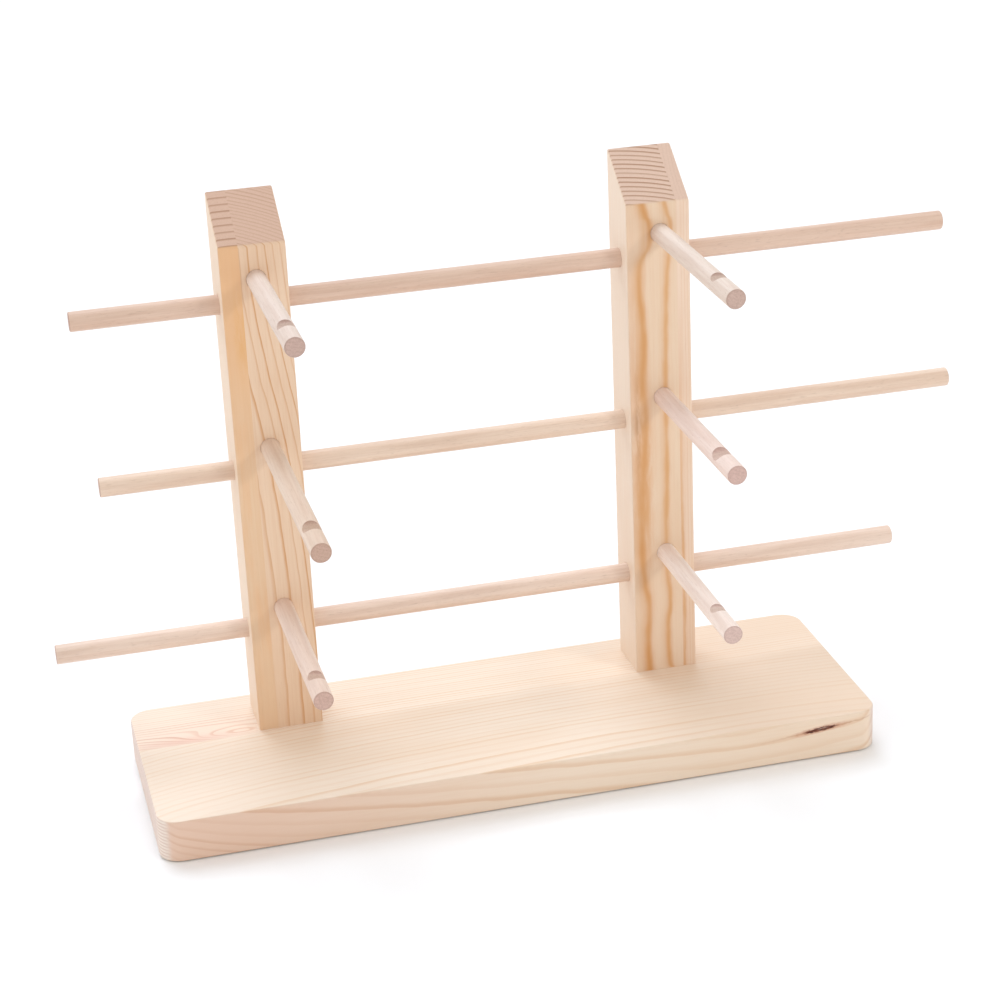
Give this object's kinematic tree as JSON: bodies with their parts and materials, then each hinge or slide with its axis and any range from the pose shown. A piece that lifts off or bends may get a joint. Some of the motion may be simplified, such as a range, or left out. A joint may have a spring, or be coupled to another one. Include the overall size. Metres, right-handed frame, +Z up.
{
  "type": "dowel display rack",
  "caption": "Free-standing wooden display rack: rounded base board, slanted-top posts, sliding round cross bars and notched pegs that stand out to the front.",
  "frame": {"origin": "middle of the base board's underside, on the surface it stands on", "axes": "+X to the right along the cross bars, +Y to the back, +Z up; the pegs point to -Y"},
  "size_m": [0.3921, 0.15, 0.2454],
  "materials": {
    "base_pine": "bare sanded pine, pale with pinkish heartwood streaks",
    "post_pine": "bare sanded pine with orange latewood lines",
    "dowel_beech": "smooth pale pinkish beech dowel with darker end grain",
    "screw_steel": "plain zinc-plated wood screw"
  },
  "bodies": {
    "stand": {"base_front_board": "base_pine", "base_rear_board": "base_pine", "post_left_strip": "post_pine", "post_left_block": "post_pine", "post_right_block": "post_pine", "post_right_strip": "post_pine", "screw_left_front": "screw_steel", "screw_left_back": "screw_steel", "screw_right_front": "screw_steel", "screw_right_back": "screw_steel"},
    "bar_top": {"bar_top": "dowel_beech"},
    "bar_middle": {"bar_middle": "dowel_beech"},
    "bar_bottom": {"bar_bottom": "dowel_beech"},
    "peg_left_top": {"peg_left_top": "dowel_beech"},
    "peg_left_middle": {"peg_left_middle": "dowel_beech"},
    "peg_left_bottom": {"peg_left_bottom": "dowel_beech"},
    "peg_right_top": {"peg_right_top": "dowel_beech"},
    "peg_right_middle": {"peg_right_middle": "dowel_beech"},
    "peg_right_bottom": {"peg_right_bottom": "dowel_beech"}
  },
  "joints": [
    {"name": "bar_top_slide", "type": "slide", "parent": "stand", "child": "bar_top", "axis": [1, 0, 0], "range_m": [-0.1147, 0.0593]},
    {"name": "bar_middle_slide", "type": "slide", "parent": "stand", "child": "bar_middle", "axis": [1, 0, 0], "range_m": [-0.1193, 0.0547]},
    {"name": "bar_bottom_slide", "type": "slide", "parent": "stand", "child": "bar_bottom", "axis": [1, 0, 0], "range_m": [-0.0942, 0.0798]},
    {"name": "peg_left_top_slide", "type": "slide", "parent": "stand", "child": "peg_left_top", "axis": [0, 1, 0], "range_m": [-0.026, 0.012]},
    {"name": "peg_left_middle_slide", "type": "slide", "parent": "stand", "child": "peg_left_middle", "axis": [0, 1, 0], "range_m": [-0.001, 0.037]},
    {"name": "peg_left_bottom_slide", "type": "slide", "parent": "stand", "child": "peg_left_bottom", "axis": [0, 1, 0], "range_m": [-0.023, 0.015]},
    {"name": "peg_right_top_slide", "type": "slide", "parent": "stand", "child": "peg_right_top", "axis": [0, 1, 0], "range_m": [-0.0195, 0.0185]},
    {"name": "peg_right_middle_slide", "type": "slide", "parent": "stand", "child": "peg_right_middle", "axis": [0, 1, 0], "range_m": [-0.0195, 0.0185]},
    {"name": "peg_right_bottom_slide", "type": "slide", "parent": "stand", "child": "peg_right_bottom", "axis": [0, 1, 0], "range_m": [-0.026, 0.012]}
  ]
}
